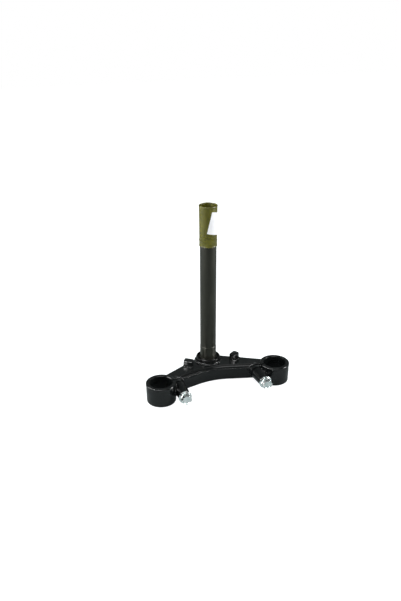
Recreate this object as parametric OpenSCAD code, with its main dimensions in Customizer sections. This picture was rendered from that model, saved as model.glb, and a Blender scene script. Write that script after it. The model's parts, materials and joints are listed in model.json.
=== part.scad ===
// Lower triple clamp of a small motorcycle: two split clamp rings for the fork tubes, a welded
// box bridge of two pressings, and the steering stem with its seal and thread protector.
// The origin lies on the steering axis in the flat underside. X runs from fork to fork, the
// forks stand on the minus Y side of the stem, and the stem rises along Z. Sizes are in mm.

/* [Fork clamps] */
// Distance between the axes of the two fork tubes
fork_spacing = 190; // [176:1:210]
// Distance of the fork axes in front of the steering axis
fork_offset = 53; // [48:0.5:58]
// Diameter of the fork tube that a clamp ring takes
fork_d = 35; // [33:0.25:36]
// Wall of a clamp ring at its rim
ring_wall = 6; // [5:0.25:7]
// Height of a clamp ring
ring_h = 32; // [29.5:0.5:38]
// Height of the thicker band round the top of a clamp ring
rim_h = 4.4; // [3:0.2:6]
// Depth of the neck below that band
rim_step = 0.8; // [0.4:0.1:1.4]
// Height of the widest part of the ring's side below the band
belly_z = 21; // [18:0.5:22.5]
// How much smaller the ring's radius is at its foot
ring_draft = 0.9; // [0.6:0.1:2]
// Radius of the rounded foot of a clamp ring
foot_round = 2; // [1:0.25:3]
// Radius of the rounded edge at the top of a clamp ring
rim_round = 1.4; // [0.6:0.1:1.8]
// Chamfer at both ends of the fork tube's bore
bore_chamfer = 0.8; // [0.3:0.1:1.2]
// Width of the slit that lets a clamp ring close
slit_w = 3; // [2:0.25:4]

/* [Pinch lugs] */
// Distance of the pinch bolt's axis from the fork axis, toward the stem
lug_reach = 29; // [28.75:0.25:31]
// Height of the pinch bolt's axis
lug_z = 17; // [15:0.25:18]
// Radius of a lug at the slit
lug_r = 10.8; // [10:0.1:11.5]
// How much a lug's radius tapers away from the slit, for each millimetre of its length
lug_taper = 0.06; // [0.02:0.01:0.09]
// Length of the front lug, from the slit to the face under the bolt's head
front_lug_l = 28; // [24:0.5:30]
// Length of the threaded lug behind the slit
rear_lug_l = 18; // [15:0.5:20]
// Radius of the rounded edge at a lug's free end
lug_round = 2.2; // [1:0.1:2.6]

/* [Pinch bolts] */
// Thread diameter of a pinch bolt
bolt_d = 10; // [9.5:0.1:10]
// Length of a pinch bolt under its head
bolt_l = 45; // [42:1:48]
// Diameter of the flange under the head
flange_d = 20.2; // [18:0.1:21]
// Height of the flange at its rim
flange_rim = 1.3; // [1:0.1:1.8]
// Height of the whole flange, where the hexagon begins
flange_h = 3; // [2.4:0.1:3.4]
// Width of the hexagon across its flats
hex_af = 14; // [13:0.5:15]
// Height of the head, with its flange
head_h = 11; // [9:0.5:12]
// Depth of the dish in the top of the head
head_dish = 0.8; // [0.4:0.1:1.2]
// Radial clearance round the bolt in the front lug
hole_clear = 0.25; // [0.1:0.05:0.3]
// Radial clearance in the threaded lug
thread_clear = 0.02; // [0.01:0.01:0.05]

/* [Bridge] */
// Height of the deck, the bridge's top face
deck_z = 26.5; // [25:0.25:28]
// Thickness of the pressed sheet
sheet_t = 3; // [2.5:0.25:3.5]
// Distance of the back edge behind the middle line of an arm
arm_back = 19.5; // [18:0.25:20.75]
// Distance of the point where the two straight front edges would meet, in front of the stem
front_apex = 25.6; // [24:0.2:27]
// How far behind the fork axis a straight front edge would pass it
front_meet = 3.5; // [2.5:0.25:5]
// Radius of the front edge between its two straight parts
front_r = 102; // [85:1:115]
// Outer radius of the upper pressing's turned down edge
bend_r = 6; // [5:0.25:6.5]
// Height of the seam between the two pressings
seam_z = 19.5; // [18.5:0.25:19.75]
// How far the lower pressing's wall stands back from the upper one's
tray_step = 0.5; // [0.4:0.1:1.2]
// Outer radius of the lower pressing's bottom edge
tray_round = 3.75; // [3.75:0.25:5]
// Diameter of the two drain holes in the lower pressing
drain_d = 7; // [5:0.5:9]

/* [Hub] */
// Diameter of the hub's collar, which is welded down on the deck
hub_d = 40; // [38:0.5:42]
// Wall of the hub's tube, which passes through the bridge, round the stem's foot
hub_wall = 3.7; // [2.7:0.1:4.5]
// Height of the hub's collar above the deck
hub_rise = 1.6; // [1:0.1:2.4]
// Radius of the rounded top edge of the hub
hub_round = 1.4; // [0.6:0.1:2]

/* [Steering stem] */
// Diameter of the stem
stem_d = 25.5; // [25.2:0.1:25.8]
// Bore of the stem
stem_bore = 17; // [15:0.5:19]
// Height of the stem's top end
stem_top = 276; // [262:1:282]
// Diameter of the ground seat for the lower bearing
seat_d = 26; // [25.9:0.05:26.3]
// Length of that seat, from the shoulder that the bearing sits on
seat_l = 19.8; // [16:0.2:24]
// Diameter of the stem's foot, in the hub and the dust seal
root_d = 26.6; // [26.5:0.1:28]
// Diameter over the thread at the stem's top
thread_d = 25; // [24.4:0.1:25.1]
// Length of the threaded end
thread_l = 52; // [46:1:56]
// Chamfer at the stem's ends
stem_chamfer = 1; // [0.5:0.1:1.5]

/* [Dust seal] */
// Width of the dust seal, from the stem's foot to its outer edge
seal_w = 5.9; // [5.6:0.1:6.2]
// Height of the dust seal
seal_h = 4.2; // [3.6:0.2:5]
// Width of its raised rim
seal_rim = 2.5; // [2:0.1:3]
// Thickness of its floor
seal_floor = 1.4; // [1:0.1:1.8]
// Diameter of the steel washer below the seal
washer_d = 34.5; // [33:0.5:36]
// Thickness of that washer
washer_t = 1; // [0.8:0.1:1.4]
// Radial clearance round the stem's foot in the seal and the washer
seal_clear = 0.1; // [0.05:0.05:0.2]
// Height of the bearing's shoulder above the dust seal
shoulder_rise = 0.3; // [0.1:0.1:1]

/* [Steering stops] */
// Distance of the right stop block from the stem, along the arm
right_stop_reach = 41.8; // [39:0.2:46]
// Distance of the left stop block from the stem, along the arm
left_stop_reach = 36.8; // [35:0.2:46]
// Distance of a stop block behind the middle line of the arm
stop_back = 9.7; // [8.6:0.1:10.5]
// Width of a stop block
stop_w = 13.6; // [12:0.2:15]
// Depth of a stop block
stop_d = 10; // [8.6:0.2:11]
// Height of a stop block above the deck
stop_h = 10; // [8:0.25:12]
// Angle between a stop block's width and the arm
stop_turn = 65.7; // [58:0.1:72]
// Radius of the rounded edge over a stop block's front face
stop_round = 3; // [1.5:0.25:4]

/* [Thread sleeve] */
// Gap between the sleeve's lower end and the shoulder where the thread begins
sleeve_rest = 0.4; // [0.1:0.1:0.8]
// Length of the plastic sleeve
sleeve_l = 63.4; // [60:0.2:66]
// Wall of the sleeve
sleeve_wall = 0.9; // [0.7:0.05:1.2]
// Radial clearance between the sleeve and the thread
sleeve_clear = 0.12; // [0.05:0.01:0.2]
// How much wider the sleeve is at its top
sleeve_flare = 0.35; // [0.1:0.05:0.5]
// Height of the plain band at the sleeve's lower end
sleeve_cuff = 10; // [8:0.5:12]
// Distance between the two ridges above that band
sleeve_pitch = 3.2; // [2.4:0.1:4]

/* [Label] */
// Width of the paper label round the sleeve
label_w = 38; // [30:1:44]
// Height of the label
label_h = 34; // [28:0.5:38]
// Thickness of the paper
label_t = 0.15; // [0.1:0.05:0.25]
// Tilt of the label on the sleeve
label_tilt = 13; // [8:0.5:18]
// Height of the label's left lower corner above the sleeve's lower end
label_rise = 22.6; // [21:0.2:24]
// Gap between the label and the sleeve
label_gap = 0.06; // [0.05:0.01:0.1]
// Angle of that corner round the stem, from the X axis
label_turn = -117; // [-140:1:-95]

/* [Weld seams] */
// Width of the weld bead along the seam
bead_w = 3.6; // [3:0.1:4]
// How far a bead stands proud
bead_proud = 0.9; // [0.6:0.05:1.2]
// Length of one ripple of a bead
ripple_l = 3.2; // [2.8:0.1:4]
// Share of the bulge that is lost between two ripples
ripple_swell = 0.6; // [0.2:0.05:0.7]
// Gap that a bead keeps from the sheet
bead_gap = 0.02; // [0.01:0.01:0.04]

/* [Hidden] */
$fn = 96;
small_fn = 32;
over = 1;
round_nip = 0.006;
ripple_steps = 4;

fork_x = fork_spacing / 2;
bore_r = fork_d / 2;
ring_r = bore_r + ring_wall;
foot_r = ring_r - ring_draft;
lug_x = fork_x - lug_reach;
slit_front = -fork_offset - slit_w / 2;
slit_back = -fork_offset + slit_w / 2;
lug_face = slit_front - front_lug_l;

// The arm's middle line runs from the stem's axis to the fork's
arm_sweep = atan2(fork_offset, fork_x);
arm_l = norm([fork_offset, fork_x]);
arm_dir = [cos(arm_sweep), -sin(arm_sweep)];
arm_out = [sin(arm_sweep), cos(arm_sweep)];

// The front edge: two straight lines joined by an arc, which crosses them at a slight angle
front_sweep = atan2(fork_offset - front_meet - front_apex, fork_x);
front_dist = front_apex * cos(front_sweep);
front_nip = 0.15;
notch_y = front_nip - front_apex - front_r / cos(front_sweep);
notch_turn = front_sweep + acos(1 - front_nip * cos(front_sweep) / front_r);

hub_r = hub_d / 2;
hub_tube_r = root_d / 2 + hub_wall;
hub_top = deck_z + hub_rise;
washer_top = hub_top + washer_t;
seat_foot = washer_top + seal_h + shoulder_rise;
seat_top = seat_foot + seat_l;
thread_r = thread_d / 2;
sleeve_in = thread_r + sleeve_clear;
sleeve_r = sleeve_in + sleeve_wall;
sleeve_foot = stem_top - thread_l + sleeve_rest;
label_z = sleeve_foot + label_rise;

// Takes the sharp corner at the origin off a section and leaves a quarter round, which crosses
// the two sides at a slight angle
module corner_cut(r) {
    centre = -r * (1 - round_nip);
    difference() {
        translate([-r, -r]) square([r + over, r + over]);
        translate([centre, centre]) circle(r, $fn = small_fn);
    }
}

// Places a piece on the right fork's side, or mirrored on the left one's
module on_side(side) {
    if (side == "right") children();
    else mirror([1, 0, 0]) children();
}

// Plan of the bridge, drawn in from its outer edge, with both arms running to the fork axes
module bridge_plan(inset) {
    back = arm_back - inset;
    fillet = front_r + inset;
    half = [
        arm_l * arm_dir + back * arm_out,
        [fork_x, -fork_offset + front_meet + inset / cos(front_sweep)],
        [fillet * sin(front_sweep), notch_y + fillet * cos(front_sweep) - front_nip]
    ];
    difference() {
        polygon(concat(
            [[0, back / cos(arm_sweep)]],
            half,
            [for (i = [2, 1, 0]) [-half[i][0], half[i][1]]]
        ));
        translate([0, notch_y]) circle(fillet, $fn = 240);
    }
}

// Rounding along the bridge's upper edges, for a form of height h
module bridge_rounding(inset, h, r) {
    back = arm_back - inset;
    front = front_dist - inset;
    s_apex = front_dist * tan(front_sweep);
    s_tangent = front_r * tan(front_sweep) + s_apex;
    s_end = fork_x / cos(front_sweep) + s_apex;
    for (side = ["left", "right"]) on_side(side) {
        rotate([0, 0, 90 - arm_sweep])
            translate([back, back * tan(arm_sweep), h]) rotate([90, 0, 0])
                linear_extrude(arm_l + back) corner_cut(r);
        rotate([0, 0, 270 - front_sweep])
            translate([front, s_end, h]) rotate([90, 0, 0])
                linear_extrude(s_end - s_tangent) corner_cut(r);
    }
    translate([0, notch_y, h]) rotate([0, 0, 89 - notch_turn])
        rotate_extrude(angle = 2 * notch_turn + 2, $fn = 240)
            translate([front_r + inset, 0]) mirror([1, 0]) corner_cut(r);
}

// Solid form of the bridge from zero to h, rounded along its upper edges
module bridge_form(inset, h, r) {
    difference() {
        linear_extrude(h) bridge_plan(inset);
        bridge_rounding(inset, h, r);
    }
}

// Upper pressing's outer form, from the seam to the deck
module deck_form() {
    translate([0, 0, seam_z]) bridge_form(0, deck_z - seam_z, bend_r);
}

// Section of a clamp ring as if it were solid
module ring_section() {
    difference() {
        polygon([
            [0, 0], [foot_r, 0], [ring_r - rim_step / 2, belly_z],
            [ring_r - rim_step, ring_h - rim_h - rim_step],
            [ring_r, ring_h - rim_h], [ring_r, ring_h], [0, ring_h]
        ]);
        translate([foot_r, 0]) mirror([0, 1]) corner_cut(foot_round);
        translate([ring_r, ring_h]) corner_cut(rim_round);
    }
}

module ring_solid() {
    translate([fork_x, -fork_offset, 0]) rotate_extrude() ring_section();
}

// Section of a lug as if it were solid, with the slit's face at zero height
module lug_section(l, end_round) {
    end_r = lug_r - lug_taper * l;
    difference() {
        polygon([[0, 0], [lug_r, 0], [end_r, l], [0, l]]);
        translate([end_r, l]) corner_cut(end_round);
    }
}

module front_lug_solid() {
    translate([lug_x, slit_front, lug_z]) rotate([90, 0, 0])
        rotate_extrude() lug_section(front_lug_l, lug_round);
}

module rear_lug_solid() {
    translate([lug_x, slit_back, lug_z]) rotate([-90, 0, 0])
        rotate_extrude() lug_section(rear_lug_l, lug_round);
}

// Everything that the pressings are cut back from
module pressing_cuts() {
    translate([0, 0, -over]) cylinder(h = deck_z + 2 * over, r = hub_tube_r);
    for (side = ["left", "right"]) on_side(side) {
        ring_solid();
        rear_lug_solid();
    }
}

module upper_pressing() {
    color([0.10, 0.11, 0.11]) difference() {
        deck_form();
        translate([0, 0, seam_z - over])
            bridge_form(sheet_t, deck_z - seam_z + over - sheet_t, bend_r - sheet_t);
        pressing_cuts();
    }
}

module lower_pressing() {
    color([0.09, 0.10, 0.10]) difference() {
        translate([0, 0, seam_z]) mirror([0, 0, 1])
            bridge_form(tray_step, seam_z, tray_round);
        translate([0, 0, seam_z + over]) mirror([0, 0, 1])
            bridge_form(tray_step + sheet_t, seam_z + over - sheet_t, tray_round - sheet_t);
        pressing_cuts();
        for (side = ["left", "right"]) on_side(side)
            translate(concat(arm_l / 2 * arm_dir, [-over]))
                cylinder(h = sheet_t + 2 * over, d = drain_d, $fn = small_fn);
    }
}

// Hub: a tube through the bridge with a collar on the deck, bored for the stem
module stem_hub() {
    color([0.10, 0.11, 0.11]) rotate_extrude() difference() {
        polygon([
            [0, 0], [hub_tube_r, 0], [hub_tube_r, deck_z], [hub_r, deck_z],
            [hub_r, hub_top], [0, hub_top]
        ]);
        translate([hub_r, hub_top]) corner_cut(min(hub_round, hub_rise));
        translate([0, -over]) square([root_d / 2, hub_top + 2 * over]);
    }
}

module steering_stem() {
    color([0.20, 0.21, 0.20]) rotate_extrude() difference() {
        polygon([
            [0, 0], [root_d / 2, 0], [root_d / 2, seat_foot],
            [seat_d / 2, seat_foot], [seat_d / 2, seat_top - stem_chamfer / 2],
            [stem_d / 2, seat_top], [stem_d / 2, stem_top - thread_l],
            [thread_r, stem_top - thread_l + stem_chamfer / 2],
            [thread_r, stem_top - stem_chamfer], [thread_r - stem_chamfer, stem_top], [0, stem_top]
        ]);
        translate([0, -over]) square([stem_bore / 2, stem_top + 2 * over]);
    }
}

module clamp_ring(side) {
    bore_in = bore_r + bore_chamfer;
    color([0.11, 0.12, 0.12]) on_side(side) difference() {
        ring_solid();
        translate([fork_x, -fork_offset, 0]) rotate_extrude() polygon([
            [0, -over], [bore_in + over, -over], [bore_r, bore_chamfer],
            [bore_r, ring_h - bore_chamfer], [bore_in + over, ring_h + over], [0, ring_h + over]
        ]);
        translate([fork_x - ring_r - over, slit_front, -over])
            cube([ring_r + over, slit_w, ring_h + 2 * over]);
    }
}

// Front lug: plain hole for the pinch bolt, its side cut to seat on the ring
module front_lug(side) {
    color([0.10, 0.11, 0.11]) on_side(side) difference() {
        front_lug_solid();
        ring_solid();
        translate([lug_x, slit_front + over, lug_z]) rotate([90, 0, 0])
            cylinder(h = front_lug_l + 2 * over, r = bolt_d / 2 + hole_clear);
    }
}

// Rear lug: tapped for the pinch bolt, let into the bridge and the ring
module rear_lug(side) {
    color([0.10, 0.11, 0.11]) on_side(side) difference() {
        rear_lug_solid();
        ring_solid();
        translate([lug_x, slit_back - over, lug_z]) rotate([-90, 0, 0])
            cylinder(h = rear_lug_l + 2 * over, r = bolt_d / 2 + thread_clear);
    }
}

// Flange bolt along minus Z, with the underside of its head at zero
module flange_bolt() {
    corner_r = hex_af / 2 / cos(30);
    hex_h = head_h - flange_rim;
    top_r = hex_af / 2 - head_dish / 4;
    tip = bolt_d / 10;
    rotate_extrude() polygon([
        [0, -bolt_l], [bolt_d / 2 - tip, -bolt_l], [bolt_d / 2, -bolt_l + tip],
        [bolt_d / 2, 0], [flange_d / 2, 0], [flange_d / 2, flange_rim],
        [hex_af / 2, flange_h], [0, flange_h]
    ]);
    difference() {
        intersection() {
            translate([0, 0, flange_rim]) cylinder(h = hex_h, r = corner_r, $fn = 6);
            translate([0, 0, flange_rim])
                cylinder(h = hex_h, r1 = top_r + hex_h / tan(30), r2 = top_r);
        }
        translate([0, 0, head_h - head_dish])
            cylinder(h = head_dish + over, r1 = hex_af / 2 - 2 * head_dish, r2 = hex_af / 2);
    }
}

module pinch_bolt(side) {
    color([0.72, 0.78, 0.77]) on_side(side)
        translate([lug_x, lug_face, lug_z]) rotate([90, 0, 0]) flange_bolt();
}

// Stop block on the deck, its foot shaped to the deck and its turned edge
module stop_block(side) {
    reach = side == "left" ? left_stop_reach : right_stop_reach;
    place = reach * arm_dir + stop_back * arm_out;
    foot_z = seam_z + bead_w / 2 + bead_gap;
    block_h = deck_z + stop_h - foot_z;
    color([0.10, 0.11, 0.11]) on_side(side) difference() {
        translate([place[0], place[1], foot_z])
            rotate([0, 0, stop_turn - arm_sweep])
                difference() {
                    translate([-stop_w / 2, -stop_d / 2, 0]) cube([stop_w, stop_d, block_h]);
                    translate([stop_w / 2 + over, -stop_d / 2, block_h])
                        rotate([90, 0, -90]) linear_extrude(stop_w + 2 * over)
                            corner_cut(stop_round);
                }
        deck_form();
    }
}

module seal_washer() {
    color([0.30, 0.31, 0.31]) translate([0, 0, hub_top]) difference() {
        cylinder(h = washer_t, d = washer_d);
        translate([0, 0, -over]) cylinder(h = washer_t + 2 * over, r = root_d / 2 + seal_clear);
    }
}

// Dust seal: a dished rubber ring whose rim stands out past the washer
module dust_seal() {
    in_r = root_d / 2 + seal_clear;
    out_r = in_r + seal_w;
    rim_in = out_r - seal_rim;
    lip = seal_rim / 2;
    color([0.08, 0.08, 0.08]) translate([0, 0, washer_top]) rotate_extrude() difference() {
        translate([in_r, 0]) square([seal_w, seal_h]);
        translate([in_r + lip, seal_floor]) square([rim_in - in_r - lip, seal_h]);
        translate([in_r - over, seal_h - lip]) square([lip + 2 * over, seal_h]);
        translate([out_r, seal_h]) corner_cut(lip / 2);
        translate([rim_in, seal_h]) mirror([1, 0]) corner_cut(lip / 2);
        translate([out_r, 0]) mirror([0, 1]) corner_cut(lip / 2);
    }
}

// Plastic sleeve over the stem's thread: rolled top edge, two grooves and a plain cuff
module thread_sleeve() {
    ridge = sleeve_wall / 3;
    roll = sleeve_wall * 0.75;
    color([0.42, 0.42, 0.20]) translate([0, 0, sleeve_foot]) rotate_extrude() difference() {
        union() {
            polygon([
                [sleeve_in, 0], [sleeve_r, 0], [sleeve_r, sleeve_cuff],
                [sleeve_r + sleeve_flare, sleeve_l - roll],
                [sleeve_in + sleeve_flare, sleeve_l - roll], [sleeve_in, sleeve_cuff]
            ]);
            translate([sleeve_in + sleeve_flare + sleeve_wall / 2, sleeve_l - roll])
                circle(roll, $fn = small_fn);
            translate([sleeve_in, 0]) square([sleeve_wall + ridge, sleeve_wall]);
            translate([sleeve_in, sleeve_cuff - sleeve_wall])
                square([sleeve_wall + ridge, sleeve_wall]);
        }
        for (i = [2, 3]) translate([sleeve_r + ridge, sleeve_cuff + i * sleeve_pitch])
            circle(2 * ridge, $fn = small_fn);
    }
}

// Closed surface from n equal rings of m points, each ring turning to the left of its way. Each
// end is closed like a ladder, between the ring's first points and its last ones
module swept(points, n, m) {
    last = m * (n - 1);
    sides = [for (i = [0:n - 2]) for (c = [0:m - 1])
        let (a = m * i + c, b = m * i + (c + 1) % m)
        for (t = [[a, b, b + m], [a, b + m, a + m]]) t];
    rungs = [for (c = [0:ceil(m / 2) - 2])
        for (t = [[c, c + 1, m - 1 - c], [c + 1, m - 2 - c, m - 1 - c]]) if (t[0] != t[1]) t];
    caps = [for (t = rungs)
        for (end = [[t[0], t[2], t[1]], [last + t[0], last + t[1], last + t[2]]]) end];
    polyhedron(points, concat(sides, caps));
}

// Radius of the sleeve's side at a height
function sleeve_side(z) =
    sleeve_r + sleeve_flare * max(0, z - sleeve_foot - sleeve_cuff) / (sleeve_l - sleeve_cuff);

// Point of the label: u along its width, v up its height, k across the paper
function label_point(u, v, k) =
    let (
        s = u * cos(label_tilt) + v * sin(label_tilt),
        z = label_z - u * sin(label_tilt) + v * cos(label_tilt),
        turn = s / sleeve_r * 180 / PI,
        r = sleeve_side(z) + label_gap + k * label_t
    ) [r * cos(turn), r * sin(turn), z];

// Paper label: a thin tilted rectangle laid round the sleeve
module paper_label() {
    steps = 30;
    rows = 8;
    ring = [
        for (j = [0:rows]) [j / rows, 1],
        for (j = [rows:-1:0]) [j / rows, 0]
    ];
    points = [for (i = [0:steps]) for (p = ring)
        label_point(label_w * i / steps, label_h * p[0], p[1])];
    color([0.93, 0.93, 0.94]) rotate([0, 0, label_turn]) swept(points, steps + 1, len(ring));
}

// Section of a bead: flat toward the sheet, round outside, its bulge set by the ripple
function bead_section(bulge) = [
    [bead_gap, bead_w / 2], [bead_gap, 0], [bead_gap - tray_step, -bead_gap],
    [bead_gap - tray_step, -bead_w / 2],
    [bulge * 0.5 - tray_step / 2, -bead_w * 0.38], [bulge * 0.92, -bead_w * 0.08],
    [bulge * 0.75, bead_w * 0.26]
];

// Bulge at a step of the bead: low at the ends, a steep front and a long back on each ripple
function bead_bulge(i, n, swell) =
    let (
        phase = (i % ripple_steps) / ripple_steps,
        wave = 1 - swell * (1 - pow(1 - phase, 0.7)),
        tail = (i == 0 || i == n - 1) ? 0.3 : 1
    ) bead_gap + bead_proud * wave * tail;

// A bead along a path of [place, outward direction, swell]
module bead(path) {
    n = len(path);
    points = [for (i = [0:n - 1]) for (p = bead_section(bead_bulge(i, n, path[i][2])))
        concat(path[i][0] + p[0] * path[i][1], [seam_z + p[1]])];
    color([0.12, 0.13, 0.13]) swept(points, n, len(bead_section(1)));
}

// Place and outward direction on the bridge's front edge, at a length from its middle
function front_edge(s) =
    let (
        arc = front_r * notch_turn * PI / 180,
        way = s < 0 ? -1 : 1,
        turn = way * min(abs(s), arc) / front_r * 180 / PI,
        facing = way * min(abs(turn), front_sweep),
        rest = max(0, abs(s) - arc)
    ) [
        [front_r * sin(turn) + way * rest * cos(front_sweep),
         notch_y + front_r * cos(turn) - rest * sin(front_sweep)],
        [-sin(facing), -cos(facing)]
    ];

// Front bead from lug to lug: rippled on the left, smoother on the right
module front_seam_weld() {
    half = (lug_x - lug_r - bead_w / 4) / cos(front_sweep) - 2 * bead_proud;
    n = 2 * floor(half / ripple_l * ripple_steps) + 1;
    bead([for (i = [0:n - 1])
        let (s = -half + 2 * half * i / (n - 1), edge = front_edge(s))
        [edge[0], edge[1], s < ripple_l ? ripple_swell : ripple_swell / 3]
    ]);
}

// Back bead along one arm, from the clamp ring to the middle of the bridge
module back_seam_weld(side) {
    out = arm_back;
    foot = arm_back - tray_step;
    from = arm_l - sqrt(ring_r * ring_r - foot * foot) - bead_proud / 2;
    to = bead_proud / 2 - foot * tan(arm_sweep);
    n = floor((from - to) / ripple_l * ripple_steps) + 1;
    on_side(side) bead([for (i = [0:n - 1])
        [(from + (to - from) * i / (n - 1)) * arm_dir + out * arm_out, arm_out, ripple_swell / 2]
    ]);
}

upper_pressing();
lower_pressing();
stem_hub();
steering_stem();
clamp_ring("left");  // left_clamp_ring
clamp_ring("right");  // right_clamp_ring
front_lug("left");  // left_front_lug
front_lug("right");  // right_front_lug
rear_lug("left");  // left_rear_lug
rear_lug("right");  // right_rear_lug
pinch_bolt("left");  // left_pinch_bolt
pinch_bolt("right");  // right_pinch_bolt
stop_block("left");  // left_stop_block
stop_block("right");  // right_stop_block
seal_washer();
dust_seal();
front_seam_weld();
back_seam_weld("left");  // left_back_seam_weld
back_seam_weld("right");  // right_back_seam_weld
thread_sleeve();
paper_label();
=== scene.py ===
# %% [markdown]
# # The lower triple clamp of a small motorcycle
# This is the piece that joins the two fork tubes to the steering stem. Two split rings grip the
# tubes, a welded box bridge joins the rings, and a tall tube, the stem, rises from the bridge
# through the frame's steering head. Everything at the bottom is under one coat of gloss black.
# The solids come from the construction model. This lesson gives them their finishes and adds what
# a welder, a moulder and a painter leave behind: beads, rolled edges, grooves and orange peel.

# %% Load the construction model
import json
import math
import random

import bpy
from mathutils import Matrix, Vector


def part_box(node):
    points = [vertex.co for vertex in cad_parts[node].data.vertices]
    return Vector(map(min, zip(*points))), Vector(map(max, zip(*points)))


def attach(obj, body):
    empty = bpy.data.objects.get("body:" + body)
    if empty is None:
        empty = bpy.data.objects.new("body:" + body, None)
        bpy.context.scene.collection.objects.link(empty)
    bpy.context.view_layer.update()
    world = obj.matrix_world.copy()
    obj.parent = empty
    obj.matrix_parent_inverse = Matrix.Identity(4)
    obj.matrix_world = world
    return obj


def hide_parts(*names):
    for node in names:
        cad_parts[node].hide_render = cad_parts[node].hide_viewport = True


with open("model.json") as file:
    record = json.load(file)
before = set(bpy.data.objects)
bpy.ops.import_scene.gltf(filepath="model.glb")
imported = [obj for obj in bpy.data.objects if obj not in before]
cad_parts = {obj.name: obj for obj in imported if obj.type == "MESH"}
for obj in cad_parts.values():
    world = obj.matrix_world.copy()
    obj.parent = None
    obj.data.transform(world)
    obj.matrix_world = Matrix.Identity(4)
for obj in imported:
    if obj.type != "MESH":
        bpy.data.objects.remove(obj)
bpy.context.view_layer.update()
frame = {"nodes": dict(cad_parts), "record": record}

MM = 0.001
node = frame["nodes"]

# %% [markdown]
# ## The camera
# A product photo is taken a little from above, with a long lens, so that upright edges stay almost
# upright. The camera is made first, because every finish is then judged from the same place. It
# could be aimed with a Track To constraint. Here its direction is given as two angles, azimuth and
# elevation, because those can be measured from the photo one at a time.

# %% Camera
CAMERA_PLACE = (-0.3210, -0.9067, 0.5697)
CAMERA_AZIMUTH = -18.78
CAMERA_ELEVATION = 24.47
CAMERA_ROLL = -0.24
LENS = 40.115
SENSOR_HEIGHT = 36.0

bpy.ops.object.camera_add(location=CAMERA_PLACE)
camera = bpy.context.object
camera.name = "photo_camera"
turn = Matrix.Rotation(math.radians(CAMERA_AZIMUTH), 4, "Z")
tilt = Matrix.Rotation(math.radians(90 - CAMERA_ELEVATION), 4, "X")
roll = Matrix.Rotation(math.radians(CAMERA_ROLL), 4, "Z")
camera.matrix_world = Matrix.Translation(CAMERA_PLACE) @ turn @ tilt @ roll
camera.data.sensor_fit = "VERTICAL"
camera.data.sensor_height = SENSOR_HEIGHT
camera.data.lens = LENS
bpy.context.scene.camera = camera
bpy.context.scene.view_settings.view_transform = "Standard"
print("camera looks from azimuth", CAMERA_AZIMUTH, "elevation", CAMERA_ELEVATION)

# %% [markdown]
# ## Building a material from nodes
# Every finish here is a Principled shader fed by a few procedural textures. Image textures would
# need files and an unwrapped surface, while procedural ones fit any solid as it comes. Two helpers
# start a finish: one makes an empty material, and one gives the place on the part. That place is in
# Object coordinates, which are metres here, so a pattern's scale follows from the real size of its
# features.

# %% An empty material and the place on the part
def new_material(name):
    """A material that holds only a Principled shader, with its node tree"""
    material = bpy.data.materials.new(name)
    material.use_nodes = True
    tree = material.node_tree
    tree.nodes.clear()
    out = tree.nodes.new("ShaderNodeOutputMaterial")
    shader = tree.nodes.new("ShaderNodeBsdfPrincipled")
    tree.links.new(shader.outputs["BSDF"], out.inputs["Surface"])
    return material, tree, shader


def place(tree, stretch=(1, 1, 1)):
    """Object coordinates, stretched along the part's axes"""
    source = tree.nodes.new("ShaderNodeTexCoord")
    mapping = tree.nodes.new("ShaderNodeMapping")
    mapping.inputs["Scale"].default_value = stretch
    tree.links.new(source.outputs["Object"], mapping.inputs["Vector"])
    return mapping.outputs["Vector"]


print("a pattern with features of a millimetre has the scale", round(1 / MM))

# %% [markdown]
# ## Patterns and colours
# Real finishes are never even. A noise gives a soft random value at each place, a ramp turns that
# value into two or more shades, and a mix lays one colour over another. Most finishes below are only
# these three in a row. A Voronoi or a wave pattern would show its cells or its lines, so the plain
# noise is used for all of them. A noise has most of its values in its middle range, so the shades are
# usually spread over that range alone.

# %% Noise, ramp and mix
NOISE_LOW = 0.3
NOISE_HIGH = 0.7


def noise(tree, where, scale, detail=3.0, roughness=0.5):
    """A soft random pattern between 0 and 1"""
    texture = tree.nodes.new("ShaderNodeTexNoise")
    texture.inputs["Scale"].default_value = scale
    texture.inputs["Detail"].default_value = detail
    texture.inputs["Roughness"].default_value = roughness
    tree.links.new(where, texture.inputs["Vector"])
    return texture.outputs["Fac"]


def ramp(tree, value, stops):
    """Turns a value into the colours or greys of its stops"""
    shades = tree.nodes.new("ShaderNodeValToRGB")
    points = shades.color_ramp.elements
    while len(points) < len(stops):
        points.new(0.5)
    for point, (at, shade) in zip(points, stops):
        point.position = at
        point.color = (*shade, 1) if isinstance(shade, tuple) else (shade, shade, shade, 1)
    tree.links.new(value, shades.inputs["Fac"])
    return shades.outputs["Color"]


def spread(tree, pattern, low, high):
    """Goes from low to high over the middle range of a noise"""
    return ramp(tree, pattern, [(NOISE_LOW, low), (NOISE_HIGH, high)])


def mixed(tree, value, first, second):
    """Blends two colours, each a socket or a plain colour"""
    mix = tree.nodes.new("ShaderNodeMix")
    mix.data_type = "RGBA"
    for socket, colour in ((mix.inputs["A"], first), (mix.inputs["B"], second)):
        if isinstance(colour, tuple):
            socket.default_value = (*colour, 1)
        else:
            tree.links.new(colour, socket)
    tree.links.new(value, mix.inputs["Factor"])
    return mix.outputs["Result"]


print("shades are spread from", NOISE_LOW, "to", NOISE_HIGH, "of a noise")

# %% [markdown]
# ## Fine relief and worn edges
# Orange peel and fibres are far too fine to model, so a Bump node tilts the shading instead. Edges
# are found with a Bevel node: it rounds the normal close to an edge, and where the rounded normal
# differs from the true one, there is an edge. Painting a mask by hand would do the same for one solid
# only, and this works on all of them.

# %% Relief and edges
EDGE_ROUNDED = 0.86
EDGE_FLAT = 0.97
EDGE_SAMPLES = 4


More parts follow.
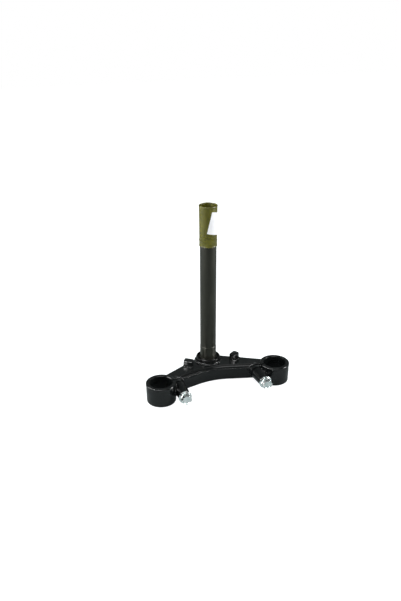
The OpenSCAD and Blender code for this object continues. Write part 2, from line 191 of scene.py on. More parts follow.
def relief(tree, height, depth, strength, below=None):
    """Fine relief of a height pattern, on top of another relief if one is given"""
    bump = tree.nodes.new("ShaderNodeBump")
    bump.inputs["Strength"].default_value = strength
    bump.inputs["Distance"].default_value = depth
    tree.links.new(height, bump.inputs["Height"])
    if below is not None:
        tree.links.new(below, bump.inputs["Normal"])
    return bump.outputs["Normal"]


def edges(tree, radius):
    """Bright on edges that the finish is rubbed or thin on, and black elsewhere"""
    rounded = tree.nodes.new("ShaderNodeBevel")
    rounded.samples = EDGE_SAMPLES
    rounded.inputs["Radius"].default_value = radius
    plain = tree.nodes.new("ShaderNodeNewGeometry")
    agree = tree.nodes.new("ShaderNodeVectorMath")
    agree.operation = "DOT_PRODUCT"
    tree.links.new(rounded.outputs["Normal"], agree.inputs[0])
    tree.links.new(plain.outputs["Normal"], agree.inputs[1])
    return ramp(tree, agree.outputs["Value"], [(EDGE_ROUNDED, 1.0), (EDGE_FLAT, 0.0)])


print("an edge shows where the normals agree by less than", EDGE_FLAT)

# %% [markdown]
# ## Gloss black paint
# The rings, the bridge and the welds are sprayed and baked black. Such paint is never quite black:
# it mirrors the bright room, a fine orange peel breaks the mirror up, and it runs thin on sharp
# edges. A coat layer over a dark base could make it too. One glossy layer is enough here: the base
# colour is kept very dark, most of what the eye sees is the reflection, and the roughness and the
# relief do the work.

# %% Black paint
PAINT_DEEP = (0.0030, 0.0039, 0.0040)
PAINT_GREY = (0.0058, 0.0070, 0.0071)
PAINT_THIN = (0.022, 0.023, 0.022)
PAINT_ROUGHNESS = (0.13, 0.22)
PAINT_EDGE = 0.4 * MM


def black_paint():
    material, tree, shader = new_material("gloss_black_paint")
    where = place(tree)
    cloud = noise(tree, where, scale=45, detail=4, roughness=0.6)
    colour = spread(tree, cloud, PAINT_DEEP, PAINT_GREY)
    colour = mixed(tree, edges(tree, PAINT_EDGE), colour, PAINT_THIN)
    tree.links.new(colour, shader.inputs["Base Color"])
    haze = noise(tree, where, scale=120, detail=5, roughness=0.6)
    tree.links.new(spread(tree, haze, *PAINT_ROUGHNESS), shader.inputs["Roughness"])
    shader.inputs["IOR"].default_value = 1.46
    waves = noise(tree, where, scale=300, detail=2)
    specks = noise(tree, where, scale=1500, detail=2)
    peel = relief(tree, waves, depth=0.05 * MM, strength=0.5)
    grain = relief(tree, specks, depth=0.006 * MM, strength=0.5, below=peel)
    tree.links.new(grain, shader.inputs["Normal"])
    return material


paint = black_paint()
print("made", paint.name)

# %% [markdown]
# ## The stem's satin coat
# The stem is a drawn steel tube with a thin dark satin coat. It shows faint lines along its length,
# from drawing and from handling, and its left edge picks up a broad soft light. An anisotropic shader
# would stretch the highlight. Stretching the noise along Z makes the lines themselves, which is what
# the eye looks for. The coat is rougher than the paint, so its highlight is wide.

# %% Stem coating
COAT_DEEP = (0.0048, 0.0053, 0.0038)
COAT_OLIVE = (0.0128, 0.0134, 0.0094)
COAT_LINE = (0.026, 0.027, 0.024)
COAT_WORN = (0.06, 0.06, 0.056)
COAT_TINT = (1.0, 1.0, 0.86, 1)
COAT_ROUGHNESS = (0.30, 0.42)
COAT_EDGE = 0.5 * MM


def stem_coat():
    material, tree, shader = new_material("satin_stem_coat")
    lines = noise(tree, place(tree, stretch=(1, 1, 0.04)), scale=900, detail=3, roughness=0.6)
    smudge = noise(tree, place(tree, stretch=(1, 1, 0.35)), scale=70, detail=4, roughness=0.6)
    colour = spread(tree, smudge, COAT_DEEP, COAT_OLIVE)
    drawn = ramp(tree, lines, [(0.55, 0.0), (0.75, 0.5)])
    colour = mixed(tree, drawn, colour, COAT_LINE)
    colour = mixed(tree, edges(tree, COAT_EDGE), colour, COAT_WORN)
    tree.links.new(colour, shader.inputs["Base Color"])
    tree.links.new(spread(tree, smudge, *COAT_ROUGHNESS), shader.inputs["Roughness"])
    shader.inputs["IOR"].default_value = 1.45
    shader.inputs["Specular Tint"].default_value = COAT_TINT
    tree.links.new(relief(tree, lines, depth=0.02 * MM, strength=0.6), shader.inputs["Normal"])
    return material


stem_finish = stem_coat()
print("made", stem_finish.name)

# %% [markdown]
# ## Bright zinc
# The two pinch bolts are zinc plated with a clear blue passivation. It is a metal, so its colour is
# the colour of what it mirrors, with a cold tint. An even metal would look like chrome. The plating
# is a little cloudy, which is why its colour and its roughness vary in soft patches of a few
# millimetres, with the crystals as a fine relief.

# %% Zinc plating
ZINC_CLOUDED = (0.62, 0.74, 0.73)
ZINC_CLEAR = (0.93, 0.96, 0.955)
ZINC_ROUGHNESS = (0.15, 0.26)


def bright_zinc():
    material, tree, shader = new_material("bright_zinc")
    where = place(tree)
    patch = noise(tree, where, scale=260, detail=3, roughness=0.55)
    colour = ramp(tree, patch, [(0.38, ZINC_CLOUDED), (0.56, ZINC_CLEAR)])
    tree.links.new(colour, shader.inputs["Base Color"])
    shader.inputs["Metallic"].default_value = 1.0
    tree.links.new(spread(tree, patch, *ZINC_ROUGHNESS), shader.inputs["Roughness"])
    crystals = noise(tree, where, scale=1500, detail=3)
    tree.links.new(relief(tree, crystals, depth=0.02 * MM, strength=0.4), shader.inputs["Normal"])
    return material


zinc = bright_zinc()
print("made", zinc.name)

# %% [markdown]
# ## Washer steel
# Under the dust seal lies a plain steel washer, of which only a dark line shows. Unplated steel is a
# grey metal without a clear mirror. It could share the zinc's material, but zinc is much brighter, so
# it gets its own: a darker metal with more roughness.

# %% Washer
STEEL_SHADES = (0.16, 0.26)
STEEL_ROUGHNESS = (0.38, 0.55)


def dull_steel():
    material, tree, shader = new_material("dull_steel")
    patch = noise(tree, place(tree), scale=350, detail=4, roughness=0.6)
    tree.links.new(spread(tree, patch, *STEEL_SHADES), shader.inputs["Base Color"])
    shader.inputs["Metallic"].default_value = 1.0
    tree.links.new(spread(tree, patch, *STEEL_ROUGHNESS), shader.inputs["Roughness"])
    tree.links.new(relief(tree, patch, depth=0.03 * MM, strength=0.4), shader.inputs["Normal"])
    return material


steel = dull_steel()
print("made", steel.name)

# %% [markdown]
# ## Seal rubber
# The dust seal is new black rubber with a moulded skin, so it is fairly smooth and its lip draws a
# line of light. A high roughness would make it chalky like an old tyre. Rubber mirrors less than
# paint, so the specular level is low instead, and fine pores break the line up.

# %% Seal
RUBBER_DEEP = (0.002, 0.002, 0.002)
RUBBER_DUSTY = (0.004, 0.004, 0.004)
RUBBER_ROUGHNESS = (0.22, 0.32)


def seal_rubber():
    material, tree, shader = new_material("seal_rubber")
    where = place(tree)
    pores = noise(tree, where, scale=1800, detail=3, roughness=0.6)
    dust = noise(tree, where, scale=160, detail=4)
    tree.links.new(spread(tree, dust, RUBBER_DEEP, RUBBER_DUSTY), shader.inputs["Base Color"])
    tree.links.new(spread(tree, pores, *RUBBER_ROUGHNESS), shader.inputs["Roughness"])
    shader.inputs["Specular IOR Level"].default_value = 0.2
    tree.links.new(relief(tree, pores, depth=0.03 * MM, strength=0.5), shader.inputs["Normal"])
    return material


rubber = seal_rubber()
print("made", rubber.name)

# %% [markdown]
# ## Olive plastic
# The thread at the stem's top is kept safe by a soft plastic sleeve. Its plastic lets some light in,
# so that thin places glow a little. Real transmission would show the wall's inside and take long to
# render, and a small amount of subsurface gives the same glow. Faint rings run round it where it was
# drawn from its mould: that is a noise squeezed flat along X and Y.

# %% Sleeve plastic
OLIVE_DEEP = (0.082, 0.079, 0.0025)
OLIVE_PALE = (0.117, 0.112, 0.004)
OLIVE_ROUGHNESS = (0.30, 0.42)
GLOW_COLOUR = (1.0, 0.9, 0.3)
GLOW_DEPTH = 1.2 * MM


def olive_plastic():
    material, tree, shader = new_material("olive_plastic")
    cloud = noise(tree, place(tree, stretch=(1, 1, 0.5)), scale=90, detail=4, roughness=0.6)
    rings = noise(tree, place(tree, stretch=(0.05, 0.05, 1)), scale=650, detail=2)
    tree.links.new(spread(tree, cloud, OLIVE_DEEP, OLIVE_PALE), shader.inputs["Base Color"])
    tree.links.new(spread(tree, cloud, *OLIVE_ROUGHNESS), shader.inputs["Roughness"])
    shader.inputs["Subsurface Weight"].default_value = 0.35
    shader.inputs["Subsurface Radius"].default_value = GLOW_COLOUR
    shader.inputs["Subsurface Scale"].default_value = GLOW_DEPTH
    shader.inputs["Specular IOR Level"].default_value = 0.4
    tree.links.new(relief(tree, rings, depth=0.05 * MM, strength=0.5), shader.inputs["Normal"])
    return material


olive = olive_plastic()
print("made", olive.name)

# %% [markdown]
# ## Label paper
# The label is plain white paper, stuck on at a slant and left blank. It is matt, so only its colour
# and its relief matter: soft creases where it was pressed on, and fibres. The creases could be
# modelled, but they are a quarter of a millimetre high, and shading shows them well enough.

# %% Paper
PAPER_SHADE = (0.88, 0.88, 0.905)
PAPER_WHITE = (0.945, 0.945, 0.955)


def label_paper():
    material, tree, shader = new_material("label_paper")
    where = place(tree)
    cloud = noise(tree, where, scale=110, detail=4, roughness=0.6)
    colour = ramp(tree, cloud, [(0.3, PAPER_SHADE), (0.65, PAPER_WHITE)])
    tree.links.new(colour, shader.inputs["Base Color"])
    shader.inputs["Roughness"].default_value = 0.75
    folds = noise(tree, where, scale=130, detail=3, roughness=0.6)
    threads = noise(tree, where, scale=1400, detail=4, roughness=0.7)
    creases = relief(tree, folds, depth=0.25 * MM, strength=0.5)
    fibres = relief(tree, threads, depth=0.02 * MM, strength=0.4, below=creases)
    tree.links.new(fibres, shader.inputs["Normal"])
    return material


paper = label_paper()
print("made", paper.name)

# %% [markdown]
# ## Finish on the carried-over solids
# The solids already have their true form. Each only needs its finish, so the material in its slot is
# exchanged for the one made above. It could be done solid by solid. The record lists which slot each
# one has, so a loop over that list leaves none out.

# %% Dress the solids
FINISHES = {
    "black_paint": paint, "stem_steel": stem_finish, "bolt_zinc": zinc, "washer_steel": steel,
    "seal_rubber": rubber, "sleeve_plastic": olive, "label_paper": paper,
}
for part in frame["record"]["subparts"]:
    solid = node[part["node"]]
    solid.data.materials.clear()
    solid.data.materials.append(FINISHES[part["material_slot"]])
print("dressed", len(node), "solids")

# %% [markdown]
# ## Working with operators
# A new piece is modelled as it would be by hand: an operator acts on whatever is selected, so each
# step first selects exactly one object. Three short helpers keep that tidy. The last one fixes a
# finished piece to the part: its place is baked into its mesh, it gets its finish, and it rides with
# the part's one body.

# %% Operator helpers
def only(*things):
    """Selects these objects alone and makes the first one active"""
    bpy.ops.object.select_all(action="DESELECT")
    for thing in things:
        thing.select_set(True)
    bpy.context.view_layer.objects.active = things[0]


def apply_modifiers(thing):
    """Applies every modifier of an object, in order"""
    only(thing)
    for modifier in list(thing.modifiers):
        bpy.ops.object.modifier_apply(modifier=modifier.name)


def fix(piece, finish):
    """Bakes the place of a piece into its mesh, gives it its finish and fixes it to the part"""
    only(piece)
    bpy.ops.object.transform_apply(location=True, rotation=True, scale=True)
    piece.data.materials.clear()
    piece.data.materials.append(finish)
    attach(piece, "root")
    print(piece.name, "has", len(piece.data.polygons), "faces")
    return piece


print("operator helpers: only, apply_modifiers, fix")

# %% [markdown]
# ## Rolled edges
# No real edge is sharp. The steering stops were cut from bar and painted thickly, and the bolt heads
# were forged, so their edges are rolled over and catch a line of light. The Bevel node would only
# shade such an edge. A Bevel modifier on a copy of the solid changes its outline too. The solid's
# mesh is loose triangles, so the copy is merged first, and flat neighbours are dissolved into whole
# faces, or the bevel would follow every triangle.

# %% Stops and bolt heads
STOP_EDGE = 0.9 * MM
BOLT_EDGE = 0.3 * MM


def softened(name, source, width, finish):
    """A copy of a solid with its edges rolled over, which stands for that solid"""
    soft = bpy.data.objects.new(name, node[source].data.copy())
    bpy.context.collection.objects.link(soft)
    only(soft)
    bpy.ops.mesh.customdata_custom_splitnormals_clear()
    bpy.ops.object.mode_set(mode="EDIT")
    bpy.ops.mesh.select_all(action="SELECT")
    bpy.ops.mesh.remove_doubles(threshold=0.001 * MM)
    bpy.ops.mesh.dissolve_limited(angle_limit=math.radians(1))
    bpy.ops.object.mode_set(mode="OBJECT")
    edge = soft.modifiers.new("rolled_edge", "BEVEL")
    edge.width = width
    edge.segments = 3
    edge.limit_method = "ANGLE"
    edge.angle_limit = math.radians(28)
    apply_modifiers(soft)
    bpy.ops.object.shade_smooth_by_angle(angle=math.radians(35))
    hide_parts(source)
    return fix(soft, finish)


for side in ("left", "right"):
    softened(side + "_stop_painted", side + "_stop_block", STOP_EDGE, paint)
    softened(side + "_bolt_plated", side + "_pinch_bolt", BOLT_EDGE, zinc)

# %% [markdown]
# ## Weld beads
# A welder lays a bead as a row of molten drops that freeze over each other. It is modelled the same
# way: one drop is copied along the joint, all copies are joined, and a voxel remesh melts them into
# one skin, which a Smooth modifier then relaxes. A swept curve would be neater, and a real bead is
# not neat. The drops' sizes vary a little, from a seeded random source, so that every run is alike.

# %% One drop, and the bead that is made of it
VOXEL = 0.4 * MM
MELT = 0.5
chance = random.Random(11)

bpy.ops.object.select_all(action="DESELECT")
bpy.ops.mesh.primitive_ico_sphere_add(subdivisions=2, radius=1.0)
drop = bpy.context.object
drop.name = "drop"


def weld(name, spots, radius, uneven=0.12, relax=3, squeeze=(1, 1, 1)):
    """A bead from drops at these places, in millimetres, each drawn in along an axis if asked"""
    copies = []
    for spot in spots:
        copy = bpy.data.objects.new(name, drop.data.copy())
        copy.location = Vector(spot) * MM
        copy.scale = [radius * MM * share * chance.uniform(1 - uneven, 1 + uneven) for share in squeeze]
        bpy.context.collection.objects.link(copy)
        copies.append(copy)
    only(*copies)
    bpy.ops.object.join()
    bead = bpy.context.object
    bpy.ops.object.transform_apply(location=True, rotation=True, scale=True)
    bead.data.remesh_voxel_size = VOXEL
    bpy.ops.object.voxel_remesh()
    melt = bead.modifiers.new("melt", "SMOOTH")
    melt.factor = MELT
    melt.iterations = relax
    apply_modifiers(bead)
    bpy.ops.object.shade_smooth()
    return fix(bead, paint)


print("a drop has", len(drop.data.polygons), "faces")

# %% [markdown]
# ## The path of the front seam
# The two pressings meet along the bridge's front, which is two straight edges with an arc between
# them. The path could be picked from the solid's edges. It is worked out from the part's own sizes
# instead, in millimetres, because a formula gives a place for every drop and not only for corners.

# %% Front seam path
FORK_X = 95.0           # a fork tube's distance from the stem, sideways
FORK_Y = -53.0          # and in depth
SEAM = 19.5             # height of the seam
SEAM_END = 52.0         # where its root bead stops, at each side
FRONT_APEX = 25.6       # where the lines of the two straight edges cross, in front of the stem
FRONT_MEET = 3.5        # how far behind a tube's middle they end
FRONT_RADIUS = 102.0    # radius of the arc that rounds their corner
front_slope = math.atan2(-FORK_Y - FRONT_MEET - FRONT_APEX, FORK_X)


def front_edge(x):
    """Depth of the bridge's front edge at a distance from its middle"""
    if abs(x) > FRONT_RADIUS * math.sin(front_slope):
        return -FRONT_APEX - abs(x) * math.tan(front_slope)
    return math.sqrt(FRONT_RADIUS ** 2 - x * x) - FRONT_APEX - FRONT_RADIUS / math.cos(front_slope)


def steps(first, last, pitch):
    """Evenly spaced numbers from first to last, about a pitch apart"""
    count = max(2, round(abs(last - first) / pitch) + 1)
    return [first + (last - first) * i / (count - 1) for i in range(count)]


def along_front(first, last, pitch, inward, lift):
    """Places along the front seam, set in from the edge and lifted above the joint"""
    return [(x, front_edge(x) + inward, SEAM + lift) for x in steps(first, last, pitch)]


print("the bridge's arms lean back by", round(math.degrees(front_slope), 1), "degrees")

# %% [markdown]
# ## The front seam's beads
# The left third of the seam was welded in slow, separate steps and shows coarse ripples. Past it the
# torch moved steadily, so the run in the middle is finer and the one on the right is smooth. A thin
# root bead fills the joint below all three. One long bead with a changing drop would show a neck at
# each change, so every run is a bead of its own. The ripples' drops are squeezed sideways, which
# keeps them apart.

# %% Front seam
RIPPLES = {"first": -57, "last": -25, "pitch": 4.6, "inward": 0.3, "lift": 2.4}
MIDDLE_RUN = {"first": -21, "last": 3, "pitch": 1.8, "inward": 0.4, "lift": 2.0}
ROOT = {"first": -SEAM_END, "last": SEAM_END, "pitch": 1.4, "inward": 0.6, "lift": 0}
SMOOTH_RUN = {"first": 6, "last": SEAM_END, "pitch": 1.8, "inward": 0.5, "lift": 0.3}
RIPPLE_SQUEEZE = (0.7, 1, 1)

spots = along_front(**RIPPLES)
ripples = weld("front_seam_ripples", spots, radius=2.6, relax=1, squeeze=RIPPLE_SQUEEZE)
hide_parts("front_seam_weld")
weld("front_seam_middle_run", along_front(**MIDDLE_RUN), radius=2.1, uneven=0.08)
weld("front_seam_root", along_front(**ROOT), radius=1.3)
weld("front_seam_smooth_run", along_front(**SMOOTH_RUN), radius=1.7, uneven=0.06)

# %% [markdown]
# ## The bead round the hub
# The hub stands up through the deck and is welded to it all the way round. A torus would do for a
# machine's weld. Drops on a circle keep it alike to the other beads. The circle stops short of a full
# turn by one drop, because the last drop would lie on the first.

# %% Hub
DECK = 26.5             # height of the deck
HUB_RADIUS = 20.8       # radius of the bead's middle line
HUB_SINK = 0.4          # how far that line lies below the deck's top


def around(centre, radius, first, last, pitch, z):
    """Places on an arc about an upright axis, with angles in degrees"""
    turns = steps(first, last, math.degrees(pitch / radius))
    return [
        (centre[0] + radius * math.cos(math.radians(turn)),
         centre[1] + radius * math.sin(math.radians(turn)), z)
        for turn in turns
    ]


hub_circle = around((0, 0), HUB_RADIUS, first=0, last=352, pitch=3.0, z=DECK - HUB_SINK)
weld("hub_weld", hub_circle, radius=1.5, uneven=0.1, relax=6)

# %% [markdown]
# ## Where rings and lugs are joined
# The two lugs of a side lie against the ring, one before the slit and one behind it, and a weld fills
# the valley between lug and ring. Another bead runs as a collar where the rear lug meets the bridge.
# Blender could find both lines by a boolean cut. Walking round the lug by its angle gives them too,
# and in the right order for laying drops. All places are for the right side.

# %% Paths on the rings and lugs
RING_RADIUS = 23.2      # middle line of the beads on a ring, just inside its outside
LUG_X = 66.0            # distance of a lug's axis from the middle
LUG_Z = 17.0            # its height
LUG_RADIUS = 10.7       # middle line of the beads on a lug, just inside its outside
SLIT_HALF = 2.4         # the ring's slit to each side of its middle, with room for the bead
COLLAR_OUT = 0.3        # how far the collar stands out of the bridge's front


def on_lug(turn):
    """Distance from the middle and height on a lug's round side, at an angle in degrees"""
    return (
        LUG_X + LUG_RADIUS * math.cos(math.radians(turn)),
        LUG_Z + LUG_RADIUS * math.sin(math.radians(turn)),
    )


valley = []
for turn in steps(first=-48, last=54, pitch=8):
    x, z = on_lug(turn)
    reach = math.sqrt(max(0, RING_RADIUS ** 2 - (x - FORK_X) ** 2))
    valley += [(x, FORK_Y + way * reach, z) for way in (-1, 1) if reach > SLIT_HALF]

collar = []
for turn in steps(first=70, last=290, pitch=9):
    x, z = on_lug(turn)
    collar.append((x, front_edge(x) - COLLAR_OUT, z))

print("drops in a valley:", len(valley), "and in a collar:", len(collar))

# %% [markdown]
# ## The feet of the stops
# Each stop block stands turned on the deck, welded along its front and a little way round both
# corners, and not at its back. The places are first listed straight, as seen from the block, and then
# turned and moved to where it stands. The left block stands nearer to the stem than the right one.

# %% Paths round the stops
STOP_ANGLE = 36.5       # turn of a stop block on the deck, in degrees
STOP_PLACES = {"left": (-36.9, -9.4), "right": (41.2, -11.9)}
STOP_HALF = 6.2         # half the length of the bead's front run
STOP_FRONT = -5.9       # the front run, as seen from the block's middle
STOP_BACK = -2.0        # where the bead stops on the block's sides
STOP_PITCH = 1.3        # from drop to drop


def stop_foot(side):
    """Places along the front foot of a stop block and a little way round its corners"""
    across = [(u, STOP_FRONT) for u in steps(-STOP_HALF, STOP_HALF, STOP_PITCH)]
    flanks = steps(STOP_FRONT, STOP_BACK, STOP_PITCH)
    sides = [(way * STOP_HALF, v) for way in (-1, 1) for v in flanks]
    turn = math.radians(STOP_ANGLE)
    x, y = STOP_PLACES[side]
    return [
        (abs(x) + u * math.cos(turn) - v * math.sin(turn),
         y + u * math.sin(turn) + v * math.cos(turn), DECK)
        for u, v in across + sides
    ]


print("drops round a stop's foot:", len(stop_foot("left")))

# %% [markdown]
# ## Laying the beads on both sides
# But for the places of the stops, the clamp is the same on both sides, so each path is used twice,
# once with its sign changed. A Mirror modifier would copy the bead drop for drop. New drops on a
# mirrored path make each side's bead a little different, as a welder's are. The stops' beads are
# relaxed most, because the thick paint has filled them.

# %% Beads on stops, rings and lugs
RING_LIFT = 0.2


def mirrored(spots, side):
    """The same places on the chosen side of the stem"""
    return [(-x, y, z) for x, y, z in spots] if side == "left" else list(spots)


for side in ("left", "right"):
    weld(side + "_stop_weld", mirrored(stop_foot(side), side), radius=2.0, uneven=0.08, relax=8)
    ring = around((FORK_X, FORK_Y), RING_RADIUS, first=104, last=152, pitch=2.4, z=DECK + RING_LIFT)
    weld(side + "_ring_weld", mirrored(ring, side), radius=1.6, uneven=0.2)
    weld(side + "_lug_weld", mirrored(valley, side), radius=1.5)
    weld(side + "_rear_lug_weld", mirrored(collar, side), radius=1.5)

bpy.data.objects.remove(drop)

# %% [markdown]
# ## Turned and moulded rings
# The plastic sleeve and the rubber seal are round, so they are modelled as on a lathe: the section is
# walked from point to point, and at each point the last circle is extruded and resized. Spinning a
# drawn section would give the same form. Extruding is used because every step can be seen and mended
# by itself. The last circle is bridged back to the first, which closes the wall.

# %% Lathe
RING_SIDES = 96


def lathe(name, section):
    """A ring from its section, a closed list of (height, radius) in millimetres"""
    bpy.ops.object.select_all(action="DESELECT")
    height, radius = section[0]
    start = (0, 0, height * MM)
    bpy.ops.mesh.primitive_circle_add(vertices=RING_SIDES, radius=radius * MM, location=start)
    ring = bpy.context.object
    ring.name = name
    bpy.ops.object.transform_apply(location=True, rotation=True, scale=True)
    bpy.ops.object.mode_set(mode="EDIT")
    bpy.ops.mesh.select_all(action="SELECT")
    for next_height, next_radius in section[1:]:
        rise = (next_height - height) * MM
        bpy.ops.mesh.extrude_region_move(TRANSFORM_OT_translate={"value": (0, 0, rise)})
        grow = next_radius / radius
        bpy.ops.transform.resize(value=(grow, grow, 1), center_override=(0, 0, next_height * MM))
        height, radius = next_height, next_radius
    bpy.ops.mesh.select_all(action="DESELECT")
    bpy.ops.mesh.select_non_manifold()
    bpy.ops.mesh.bridge_edge_loops()
    bpy.ops.mesh.select_all(action="SELECT")
    bpy.ops.mesh.normals_make_consistent(inside=False)
    bpy.ops.object.mode_set(mode="OBJECT")
    bpy.ops.object.shade_smooth_by_angle(angle=math.radians(40))
    return ring


print("the lathe turns rings of", RING_SIDES, "sides")

# %% [markdown]
# ## Keeping long flanks flat
# Smooth shading blends across every soft edge, so a long straight flank beside a small rounding
# would shade as if it were bent. More circles all along it would help. Two are enough, one close to
# each end of the flank: they hold the shading flat between them.

# %% Hold points
HOLD = 0.25


def raised(section, foot):
    """The same section at the height of its foot, with long flanks held flat close to their ends"""
    held = []
    for (z0, r0), (z1, r1) in zip(section, section[1:] + section[:1]):
        held.append((foot + z0, r0))
        length = math.hypot(z1 - z0, r1 - r0)
        if length > 4 * HOLD:
            for share in (HOLD / length, 1 - HOLD / length):
                held.append((foot + z0 + (z1 - z0) * share, r0 + (r1 - r0) * share))
    return held


print("flanks over", 4 * HOLD, "mm get two hold points")

# %% [markdown]
# ## The sleeve
# The sleeve has a rounded foot, a raised band, two moulded grooves and a rim that was rolled outwards
# when it was trimmed, so the rim waves a little. The waves could be pulled by hand with proportional
# editing. A Displace modifier with a cloud texture gives them in one step, held to the rim by a
# vertex group that fades in over a few millimetres.

# %% Sleeve
# Height above the foot and radius, up the outside and down the bore
SLEEVE = [
    (0.0, 12.70), (0.0, 13.45), (0.25, 13.82), (0.9, 13.82), (1.3, 13.50), (8.4, 13.50), (8.9, 13.88),
    (9.7, 13.88), (10.1, 13.42), (13.3, 13.50), (13.6, 13.00), (14.5, 13.00), (14.8, 13.50),
    (16.6, 13.52), (16.9, 13.00), (17.8, 13.00), (18.1, 13.54), (40.0, 13.68), (58.0, 13.80),
    (60.5, 13.84), (61.6, 14.02), (62.4, 14.15), (63.0, 14.05), (63.3, 13.75), (63.2, 13.35),
    (62.8, 13.05), (62.0, 12.98), (52.0, 12.90), (10.0, 12.70),
]
RIM_FROM = 58.0
RIM_FADE = 4
RIM_WAVE_LENGTH = 9 * MM
RIM_WAVE_HEIGHT = 0.5 * MM
RIM_WAVE_MIDDLE = 0.75

sleeve_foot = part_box("thread_sleeve")[0][2] / MM
sleeve = lathe("olive_sleeve", raised(SLEEVE, sleeve_foot))
rim = sleeve.vertex_groups.new(name="rim")
for point in sleeve.data.vertices:
    above = point.co.z / MM - sleeve_foot - RIM_FROM
    if above > 0:
        rim.add([point.index], min(1.0, above / RIM_FADE), "REPLACE")
waves = bpy.data.textures.new("rim_waves", "CLOUDS")
waves.noise_scale = RIM_WAVE_LENGTH
wavy = sleeve.modifiers.new("wavy_rim", "DISPLACE")
wavy.texture = waves
wavy.vertex_group = rim.name
wavy.direction = "Z"
wavy.strength = RIM_WAVE_HEIGHT
wavy.mid_level = RIM_WAVE_MIDDLE
apply_modifiers(sleeve)
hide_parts("thread_sleeve")
fix(sleeve, olive)

# %% [markdown]
# ## The seal
# The seal is a thin dish: a standing outer lip, a low floor that lies in shadow, and an inner lip that
# wipes the stem. A solid ring with a dark texture would look filled. Its true section gives the
# shadow by itself.

# %% Seal on the stem
# Height above the foot and radius, up the outer lip, across the dish and over the inner lip
SEAL = [
    (0.0, 13.50), (0.0, 18.70), (0.4, 19.10), (2.4, 19.22), (3.8, 19.25), (4.12, 19.05), (4.15, 18.75),
    (3.9, 18.50), (2.2, 18.15), (1.5, 17.40), (1.4, 15.20), (1.8, 14.50), (2.9, 13.95), (3.0, 13.60),
    (2.7, 13.45), (0.3, 13.45),
]

seal = lathe("rubber_seal", raised(SEAL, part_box("dust_seal")[0][2] / MM))
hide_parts("dust_seal")
fix(seal, rubber)

# %% [markdown]
# ## The table
# The part stands on a wide plane. A curved sweep is the usual studio floor, but seen from above a
# plane looks the same. Its shader adds white of its own for the camera alone, so that it fades into
# the background. Its own colour is only a light grey, because the bridge's walls mirror it, and a
# white floor would make the black paint look pale.

# %% Floor
FLOOR_SIZE = 8.0
FLOOR_GAP = 0.02 * MM
FLOOR_GREY = (0.40, 0.44, 0.445, 1)
FLOOR_WHITE = 0.93


def sweep_white():
    """Grey floor for the part, with white of its own for the camera"""
    material, tree, shader = new_material("white_sweep")
    shader.inputs["Base Color"].default_value = FLOOR_GREY
    shader.inputs["Roughness"].default_value = 0.9
    shader.inputs["Specular IOR Level"].default_value = 0.0
    path = tree.nodes.new("ShaderNodeLightPath")
    glow = tree.nodes.new("ShaderNodeMath")
    glow.operation = "MULTIPLY"
    glow.inputs[1].default_value = FLOOR_WHITE
    tree.links.new(path.outputs["Is Camera Ray"], glow.inputs[0])
    shader.inputs["Emission Color"].default_value = (1, 1, 1, 1)
    tree.links.new(glow.outputs[0], shader.inputs["Emission Strength"])
    return material


bpy.ops.object.select_all(action="DESELECT")
bpy.ops.mesh.primitive_plane_add(size=FLOOR_SIZE, location=(0, 0, -FLOOR_GAP))
floor = bpy.context.object
floor.name = "sweep"
floor.data.materials.append(sweep_white())
print("floor", floor.name, "is", FLOOR_SIZE, "m wide")

# %% [markdown]
# ## The room
# The world does three jobs. The camera sees it as plain white, and matt surfaces get an even, low
# light from it. In mirrors it is a photographer's room: bright behind the part and dim around the
# camera. A picture of a studio is often used for that. Here the brightness follows from the direction
# alone, by how far it points away from the camera, and that models the dark paint.

# %% World
WORLD_LEVEL = 0.29
ROOM = [
    (0.0, 0.015), (0.5, 0.06), (0.88, (0.14, 0.15, 0.15)), (0.99, (0.57, 0.63, 0.62)),
]
WHITE = (1.0, 1.0, 1.0)


def studio_world():
    """White for the camera, a plain level for light, and a bright back and dim front in mirrors"""
    world = bpy.data.worlds.new("studio")
    bpy.context.scene.world = world
    world.use_nodes = True
    tree = world.node_tree
    tree.nodes.clear()
    out = tree.nodes.new("ShaderNodeOutputWorld")
    path = tree.nodes.new("ShaderNodeLightPath")
    source = tree.nodes.new("ShaderNodeTexCoord")
    facing = tree.nodes.new("ShaderNodeVectorMath")
    facing.operation = "DOT_PRODUCT"
    azimuth = math.radians(CAMERA_AZIMUTH)
    facing.inputs[1].default_value = Vector((-math.sin(azimuth), math.cos(azimuth), 0))
    tree.links.new(source.outputs["Generated"], facing.inputs[0])
    room = ramp(tree, facing.outputs["Value"], ROOM)
    level = mixed(tree, path.outputs["Is Glossy Ray"], (WORLD_LEVEL,) * 3, room)
    level = mixed(tree, path.outputs["Is Camera Ray"], level, WHITE)
    background = tree.nodes.new("ShaderNodeBackground")
    tree.links.new(level, background.inputs["Color"])
    tree.links.new(background.outputs[0], out.inputs["Surface"])
    return world


print("world:", studio_world().name)

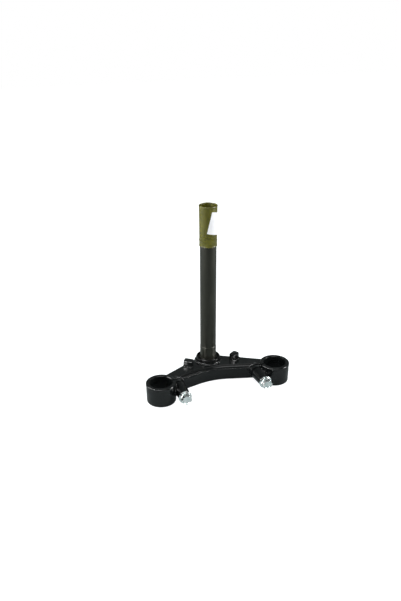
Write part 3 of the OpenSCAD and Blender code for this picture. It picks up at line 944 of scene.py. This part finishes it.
# %% [markdown]
# ## Softboxes
# A large softbox at the left lights the stem's edge and the sleeve, and a smaller one at the right
# lights the other flank. A weak one in front, above the camera, fills what faces it, and a wide one
# hangs over the part. Point lamps would give hard shadows and spots. Each lamp is placed by its
# compass direction, because a highlight sits half way between the lamp and the camera, and so its
# place can be worked out from the picture.

# %% Softbox lamps
AIM = Vector((0, 0, 0.08))


def softbox(name, azimuth, elevation, distance, width, height, power):
    """An area lamp that points at the middle of the part, seen from a compass direction"""
    flat = math.cos(math.radians(elevation))
    out = Vector((
        math.cos(math.radians(azimuth)) * flat,
        math.sin(math.radians(azimuth)) * flat,
        math.sin(math.radians(elevation)),
    ))
    bpy.ops.object.light_add(type="AREA", location=AIM + out * distance)
    lamp = bpy.context.object
    lamp.name = name
    lamp.rotation_euler = out.to_track_quat("Z", "Y").to_euler()
    lamp.data.shape = "RECTANGLE"
    lamp.data.size = width
    lamp.data.size_y = height
    lamp.data.energy = power
    return lamp


# Name, azimuth and elevation in degrees, distance, width and height in metres, power in watts
SOFTBOXES = [
    ("left_softbox", 168, 22, 1.1, 0.7, 0.8, 14.5),
    ("right_softbox", -27, 20, 1.2, 0.5, 0.5, 9.6),
    ("front_fill", -98, 45, 1.3, 1.0, 0.8, 4.6),
    ("top_light", 60, 72, 1.4, 1.0, 1.0, 2),
]
for lamp_facts in SOFTBOXES:
    softbox(*lamp_facts)

# %% [markdown]
# ## Strips for the lines of light
# Black paint shows its form by the thin bright lines on its roundings: on the rings' rims, on the
# hub's bead and on the ripples. Narrow strip lamps draw them. Brighter softboxes would draw them too,
# but would wash out the label. The strips are switched off for diffuse light, so they only show in
# mirrors.

# %% Strip lamps
STRIP_DISTANCE = 1.1
STRIP_HEIGHT = 0.16
# Name, azimuth and elevation in degrees, width in metres, power in watts
STRIPS = [
    ("left_strip", -157, 25, 0.26, 12),
    ("front_strip", -131, 40, 0.34, 6.5),
    ("right_strip", -25, 18, 0.20, 12),
]
for name, azimuth, elevation, width, power in STRIPS:
    strip = softbox(name, azimuth, elevation, STRIP_DISTANCE, width, STRIP_HEIGHT, power)
    strip.visible_diffuse = False
